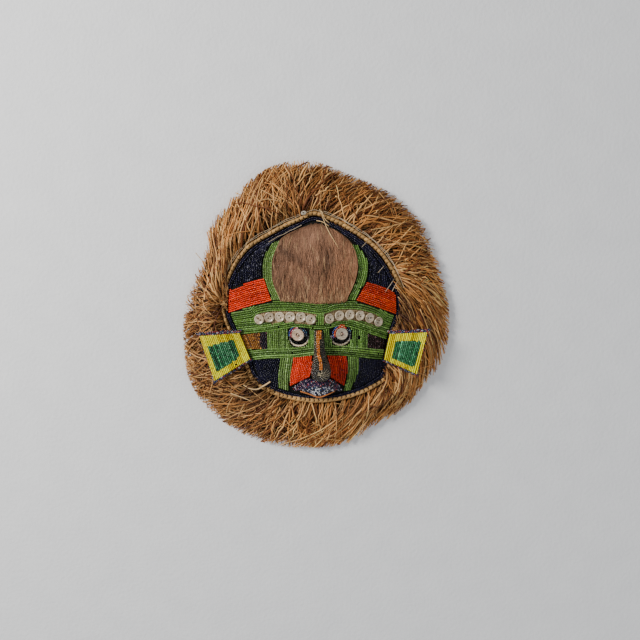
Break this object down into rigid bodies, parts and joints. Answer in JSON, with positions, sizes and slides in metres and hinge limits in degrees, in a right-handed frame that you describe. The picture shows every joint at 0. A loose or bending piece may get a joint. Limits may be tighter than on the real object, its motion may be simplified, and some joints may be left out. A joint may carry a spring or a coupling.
{
  "type": "beaded raffia mask",
  "caption": "Domed raffia-cloth face mask covered with glass bead rows, with button brows, two ears, a fur forehead patch and a raffia collar.",
  "frame": {"origin": "middle of the underside, on the plane that the mask lies on", "axes": "+Z out of the face, +Y up the face, +X to the viewer's right"},
  "size_m": [0.3042, 0.328, 0.066],
  "materials": {
    "cloth": "plain-woven raffia cloth, dull",
    "raffia": "dry raffia strands, golden to rust brown",
    "braid": "stitched raffia braid, dull",
    "hide": "short brown-grey fur, worn",
    "beads_navy": "opaque glass seed beads, glossy",
    "beads_green": "opaque glass seed beads, glossy",
    "beads_orange": "opaque glass seed beads, glossy",
    "beads_bronze": "amber and bronze glass seed beads, glossy",
    "beads_brown": "dark brown glass seed beads, glossy",
    "beads_nose": "grey-green glass seed beads, glossy",
    "beads_mouth": "navy, blue and white glass seed beads, glossy",
    "beads_eye": "red, pink and blue glass seed beads, glossy",
    "beads_yellow": "opaque glass seed beads, glossy",
    "beads_emerald": "opaque glass seed beads, glossy",
    "beads_edge": "mixed glass seed beads, glossy",
    "lip_cord": "twisted orange cord, dull",
    "pearl": "mother-of-pearl, cream, glossy",
    "thread": "pale grey cotton thread"
  },
  "bodies": {
    "root": {"face_cloth": "cloth", "raffia_fringe": "raffia", "rim_braid": "braid", "hide_patch": "hide", "beads_navy_border": "beads_navy", "beads_navy_upper_left": "beads_navy", "beads_navy_upper_right": "beads_navy", "beads_navy_lower_left": "beads_navy", "beads_navy_lower_right": "beads_navy", "beads_green_horn_left": "beads_green", "beads_green_horn_right": "beads_green", "beads_green_brow_upper": "beads_green", "beads_green_brow_lower": "beads_green", "beads_green_brow_bridge": "beads_green", "beads_green_eye_outer_left": "beads_green", "beads_green_eye_inner_left": "beads_green", "beads_green_eye_inner_right": "beads_green", "beads_green_eye_outer_right": "beads_green", "beads_green_lower_left": "beads_green", "beads_green_lower_right": "beads_green", "beads_green_cheek_left": "beads_green", "beads_green_cheek_right": "beads_green", "beads_orange_temple_left": "beads_orange", "beads_orange_temple_right": "beads_orange", "beads_orange_cheek_left": "beads_orange", "beads_orange_cheek_right": "beads_orange", "beads_bronze_temple": "beads_bronze", "beads_brown_temple": "beads_brown", "nose_beads": "beads_nose", "nose_ridge_beads": "beads_orange", "mouth_upper_lip": "beads_navy", "mouth_inner": "beads_mouth", "mouth_lip_cord": "lip_cord", "eye_button_left": "pearl", "eye_button_right": "pearl", "eye_beads_left": "beads_eye", "eye_beads_right": "beads_eye", "ear_panel_left": "cloth", "ear_panel_right": "cloth", "ear_yellow_left": "beads_yellow", "ear_yellow_right": "beads_yellow", "ear_green_left": "beads_emerald", "ear_green_right": "beads_emerald", "ear_edge_beads_left": "beads_edge", "ear_edge_beads_right": "beads_edge", "thread_knot": "thread", "brow_button_left_1": "pearl", "brow_button_left_2": "pearl", "brow_button_left_3": "pearl", "brow_button_left_4": "pearl", "brow_button_left_5": "pearl", "brow_button_left_6": "pearl", "brow_button_right_1": "pearl", "brow_button_right_2": "pearl", "brow_button_right_3": "pearl", "brow_button_right_4": "pearl", "brow_button_right_5": "pearl", "brow_button_right_6": "pearl"}
  },
  "joints": []
}
